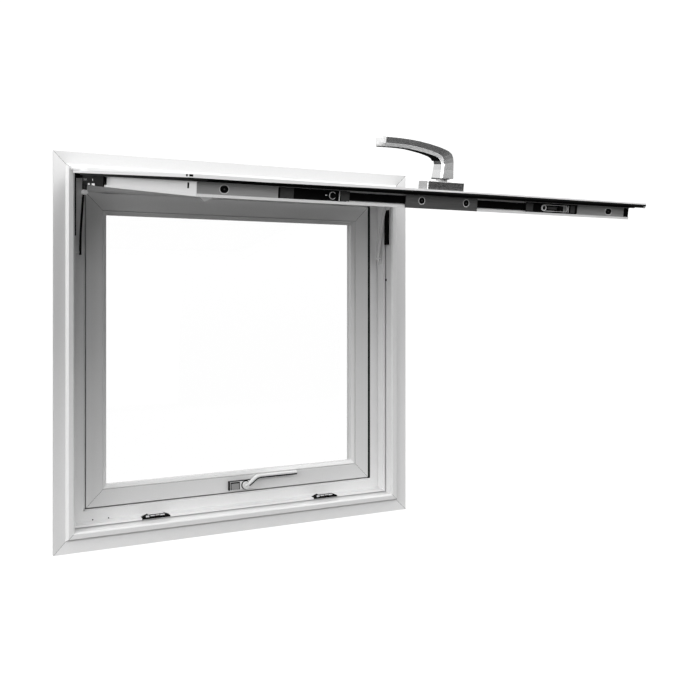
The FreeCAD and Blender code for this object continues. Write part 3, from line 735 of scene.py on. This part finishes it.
# Keepers, holes and cam handle

# Pale patches of painted highlight in the front of a keeper: place along X from its middle, length and height
KEEPER_HIGHLIGHTS = [
    (-0.021, 0.008, 0.0040), (-0.009, 0.010, 0.0024), (0.003, 0.010, 0.0018), (0.015, 0.011, 0.0026),
]
KEEPER_HALF = 0.034


def make_keeper_details():
    """Pale patches of painted highlight in the front and on top of the keepers, and a dark band of painted shade
    below them.
    """
    low, high = rest_box("strikers")
    front, top, foot = low.y, high.z, low.z
    highlight_top, highlight_near, highlight_far = top - 0.0012, front - 0.0004, front + 0.0006
    top_highlight_half, top_highlight_near, top_highlight_far, top_highlight_proud = 0.019, front + 0.0025, front + 0.0125, 0.0004
    shade_near, shade_far, shade_foot, shade_top = front - 0.0017, front - 0.0006, foot - 0.0032, foot + 0.0006
    highlights, shade_bands = bmesh.new(), bmesh.new()
    for centre in (low.x + KEEPER_HALF, high.x - KEEPER_HALF):
        for x, length, height in KEEPER_HIGHLIGHTS:
            left, right = centre + x - length / 2, centre + x + length / 2
            put_box(highlights, (left, highlight_near, highlight_top - height), (right, highlight_far, highlight_top))
        left, right = centre - top_highlight_half, centre + top_highlight_half
        put_box(highlights, (left, top_highlight_near, top - top_highlight_proud), (right, top_highlight_far, top + top_highlight_proud))
        # Painted shade: a dark band along the foot of the keeper's front
        left, right = centre - KEEPER_HALF, centre + KEEPER_HALF
        put_box(shade_bands, (left, shade_near, shade_foot), (right, shade_far, shade_top))
    add_mesh("keeper_highlights", highlights, "frame", "cam_paint")
    add_mesh("keeper_painted_shade", shade_bands, "frame", "black_hardware")


def make_drain_holes():
    """Two small drain holes in the sill's upstand, and a larger hole in the step of each jamb."""
    upstand_thickness, drain_z, drain_radius, drain_depth = 0.034, 0.0402, 0.0016, 0.0006
    upstand_face = rest_box("frame_sill")[1].y - upstand_thickness
    jamb_y, jamb_z, jamb_radius, jamb_depth = 0.0153, 0.604, 0.0030, 0.0010
    jamb_x = rest_box("stay_tracks")[1].x - 0.0002
    holes = bmesh.new()
    for x in (-0.327, -0.364):
        put_disc(holes, (x, upstand_face, drain_z), ALONG_Y, drain_radius, drain_depth)
    for side in (-1, 1):
        put_disc(holes, (side * jamb_x, jamb_y, jamb_z), ALONG_X, jamb_radius, jamb_depth)
    add_mesh("drain_holes", holes, "frame", "black_hardware")


# Centre line of the cam lever, in millimetres from its boss, along X and Z
CAM_LEVER = [
    (-3.0, -2.0), (6.0, 1.5), (14.0, 7.0), (22.0, 13.5), (29.0, 18.0), (37.0, 20.0), (52.0, 20.0),
    (80.0, 20.0), (110.0, 20.0), (140.5, 20.0),
]


def make_cam_lever():
    """The curved cam lever with its boss, and a black strip of painted shade along its underside."""
    origin = Vector(JOINTS["cam_handle_turn"]["pos_m"])
    low, high = rest_box("cam_lever")
    back, front = high.y, low.y

    # Sections across the lever: millimetres above its centre line, and Y
    bar_section = [
        (4.6, back), (4.6, front + 0.0030), (2.6, front),
        (-0.6, front), (-1.6, front + 0.0008), (-1.6, back),
    ]
    shade_section = [
        (-1.4, front + 0.0009), (-5.0, front + 0.0022), (-5.0, back - 0.0005), (-1.4, back - 0.0005),
    ]

    def ring(point, along, section):
        up = Vector((-along.y, along.x))
        spots = [((Vector(point) + up * lift) / MM_PER_METRE, y) for lift, y in section]
        return [(origin.x + spot.x, y, origin.z + spot.y) for spot, y in spots]

    stations = list(zip(CAM_LEVER, directions(CAM_LEVER)))
    bar = lofted([ring(point, along, bar_section) for point, along in stations])
    boss_radius, boss_inset = 0.0094, 0.002
    boss = (origin.x, (back + front + boss_inset) / 2, origin.z)
    put_disc(bar, boss, ALONG_Y, boss_radius, back - front - boss_inset, ROUND_SEGMENTS)
    lever = add_mesh("cam_lever_bar", bar, "cam_handle", "cam_paint", None, ["cam_lever"])
    soften(lever, CAM_EDGE)
    # Black strip along the lever's underside: painted shade
    line = lofted([ring(point, along, shade_section) for point, along in stations[1:]])
    add_mesh("cam_lever_painted_shade", line, "cam_handle", "black_hardware")


def make_cam_recess():
    """The recess in the cam plate, with dark lines of painted shade around it, along the plate's edges and in a
    ring around the boss.
    """
    origin = Vector(JOINTS["cam_handle_turn"]["pos_m"])
    low, high = rest_box("cam_plate")
    face, seat = low.y, rest_box("outer_bottom_rail")[0].y + 0.0004
    side_proud, side_width, top_sunk, top_proud = 0.0006, 0.0016, 0.0010, 0.0012
    face_proud, face_sunk, floor_proud, top_setback = 0.0002, 0.0005, 0.0006, 0.0006
    ring_radius, ring_height = 0.0116, 0.0004
    left, right = low.x + 0.0030, low.x + 0.0280
    foot, top = low.z + 0.0010, high.z - 0.0010
    # Black boxes and ring: painted shade along the plate's edges, around the recess and around the boss
    rim, floor = bmesh.new(), bmesh.new()
    put_box(rim, (low.x - side_proud, face - face_proud, low.z), (low.x + side_width, seat, high.z))
    put_box(
        rim, (low.x - side_proud, face + top_setback, high.z - top_sunk), (high.x, seat, high.z + top_proud),
    )
    put_box(rim, (left, face - face_proud, foot), (right, face + face_sunk, top))
    put_disc(rim, (origin.x, face, origin.z), ALONG_Y, ring_radius, ring_height, ROUND_SEGMENTS)
    floor_left, floor_right = left + 0.0022, right - 0.0020
    floor_foot, floor_top = foot + 0.0006, top - 0.0034
    put_box(
        floor, (floor_left, face - floor_proud, floor_foot), (floor_right, face + face_sunk, floor_top),
    )
    add_mesh("cam_plate_painted_shade", rim, "outer_sash", "black_hardware")
    add_mesh("cam_recess", floor, "outer_sash", "end_plate")


# Stage

BACKDROP_STRENGTH = 1.1
FLOOR_TONE, FLOOR_SIZE, FLOOR_LEVEL = 0.08, 6.0, -0.6

# Light of the world along the direction's Z and Y, each from -1 to 1
SKY_BY_HEIGHT = [(-1.0, 0.0), (-0.05, 0.0), (0.1, 0.1), (0.5, 0.4), (1.0, 0.6)]
SKY_BY_DEPTH = [(-0.1, 0.0), (0.3, 0.032), (1.0, 0.048)]
SKY_STRENGTH = 2.95

# Soft boxes: place, target, size and power in watts
LIGHTS = {
    "left_side": ((-4.6, -1.3, 1.5), (0.0, 0.0, 0.3), 2.4, 62.0),
    "left_key": ((-4.2, -2.4, 1.5), (0.0, 0.0, 0.3), 2.4, 50.0),
    "front": ((0.6, -3.6, 2.3), (0.0, 0.0, 0.2), 1.6, 41.0),
    "right_fill": ((2.6, -3.2, 1.8), (0.0, 0.0, 0.3), 1.8, 5.0),
    "low_fill": ((0.2, -4.2, 0.7), (0.0, 0.0, 0.3), 2.0, 5.0),
}


def seen_white(tree, plain):
    """White to the camera and through the glass, the plain shader to everything else."""
    seen = tree.nodes.new("ShaderNodeLightPath")
    first = tree.nodes.new("ShaderNodeMixShader")
    second = tree.nodes.new("ShaderNodeMixShader")
    white = tree.nodes.new("ShaderNodeEmission")
    white.inputs["Color"].default_value = (1.0, 1.0, 1.0, 1.0)
    white.inputs["Strength"].default_value = BACKDROP_STRENGTH
    link = tree.links.new
    link(seen.outputs["Is Transmission Ray"], first.inputs["Fac"])
    link(plain, first.inputs[1])
    link(white.outputs["Emission"], first.inputs[2])
    link(seen.outputs["Is Camera Ray"], second.inputs["Fac"])
    link(first.outputs["Shader"], second.inputs[1])
    link(white.outputs["Emission"], second.inputs[2])
    return second.outputs["Shader"]


def make_stage():
    """A dark floor well below the window, which the camera sees as white."""
    mesh_data = bmesh.new()
    bmesh.ops.create_grid(mesh_data, x_segments=1, y_segments=1, size=FLOOR_SIZE)
    mesh = bpy.data.meshes.new("floor")
    mesh_data.to_mesh(mesh)
    mesh_data.free()
    floor = bpy.data.objects.new("floor", mesh)
    floor.location = (0.0, 0.0, FLOOR_LEVEL)
    bpy.context.scene.collection.objects.link(floor)
    material, tree, output = new_material("floor_paint")
    plain = tree.nodes.new("ShaderNodeBsdfDiffuse")
    plain.inputs["Color"].default_value = (FLOOR_TONE, FLOOR_TONE, FLOOR_TONE, 1.0)
    tree.links.new(seen_white(tree, plain.outputs["BSDF"]), output.inputs["Surface"])
    mesh.materials.append(material)


def direction_ramp(tree, value, steps):
    """Tones along one part of a direction, from -1 to 1."""
    reach = tree.nodes.new("ShaderNodeMapRange")
    reach.inputs["From Min"].default_value = -1.0
    reach.inputs["From Max"].default_value = 1.0
    ramp = tree.nodes.new("ShaderNodeValToRGB")
    ramp.color_ramp.elements.remove(ramp.color_ramp.elements[1])
    for index, (position, level) in enumerate(steps):
        spot = (position + 1.0) / 2.0
        element = ramp.color_ramp.elements[0] if index == 0 else ramp.color_ramp.elements.new(spot)
        element.position = spot
        element.color = (level, level, level, 1.0)
    tree.links.new(value, reach.inputs["Value"])
    tree.links.new(reach.outputs["Result"], ramp.inputs["Fac"])
    return ramp.outputs["Color"]


def make_world():
    """Soft light that grows upwards and towards the backdrop; white where the camera looks."""
    world = bpy.data.worlds.new("studio")
    bpy.context.scene.world = world
    world.use_nodes = True
    tree = world.node_tree
    tree.nodes.clear()
    place = tree.nodes.new("ShaderNodeTexCoord")
    parts = tree.nodes.new("ShaderNodeSeparateXYZ")
    total = tree.nodes.new("ShaderNodeMix")
    total.data_type = "RGBA"
    total.blend_type = "ADD"
    total.inputs["Factor"].default_value = 1.0
    soft = tree.nodes.new("ShaderNodeBackground")
    soft.inputs["Strength"].default_value = SKY_STRENGTH
    output = tree.nodes.new("ShaderNodeOutputWorld")
    link = tree.links.new
    link(place.outputs["Generated"], parts.inputs["Vector"])
    link(direction_ramp(tree, parts.outputs["Z"], SKY_BY_HEIGHT), total.inputs["A"])
    link(direction_ramp(tree, parts.outputs["Y"], SKY_BY_DEPTH), total.inputs["B"])
    link(total.outputs["Result"], soft.inputs["Color"])
    link(seen_white(tree, soft.outputs["Background"]), output.inputs["Surface"])


def add_light(name, place, target, size, power):
    """A square soft box that points at a target."""
    data = bpy.data.lights.new(name, "AREA")
    data.shape = "SQUARE"
    data.size = size
    data.energy = power
    light = bpy.data.objects.new(name, data)
    light.location = place
    aim = Vector(target) - Vector(place)
    light.rotation_euler = aim.to_track_quat("-Z", "Y").to_euler()
    bpy.context.scene.collection.objects.link(light)


def make_camera():
    """The photo's viewpoint: level, from the left, with the lens shifted."""
    data = bpy.data.cameras.new("camera")
    data.sensor_width = 36.0
    data.lens = 42.40
    data.shift_x = 0.0776
    data.shift_y = -0.0810
    data.clip_start, data.clip_end = 0.05, 100.0
    camera = bpy.data.objects.new("camera", data)
    camera.location = (-0.766, -1.890, 0.568)
    camera.rotation_euler = (math.radians(90), 0.0, math.radians(-25.55))
    bpy.context.scene.collection.objects.link(camera)
    bpy.context.scene.camera = camera


dress_nodes()
make_screen()
make_lever()
make_gear_details()
make_corner_details()
make_seal_ends()
make_frame_seals()
make_mitre_lines()
make_hinge_details()
make_stay_arms()
make_stay_details()
make_keeper_details()
make_drain_holes()
make_cam_lever()
make_cam_recess()
make_stage()
make_world()
for light_name, light_values in LIGHTS.items():
    add_light(light_name, *light_values)
make_camera()
bpy.context.scene.view_settings.view_transform = "Standard"
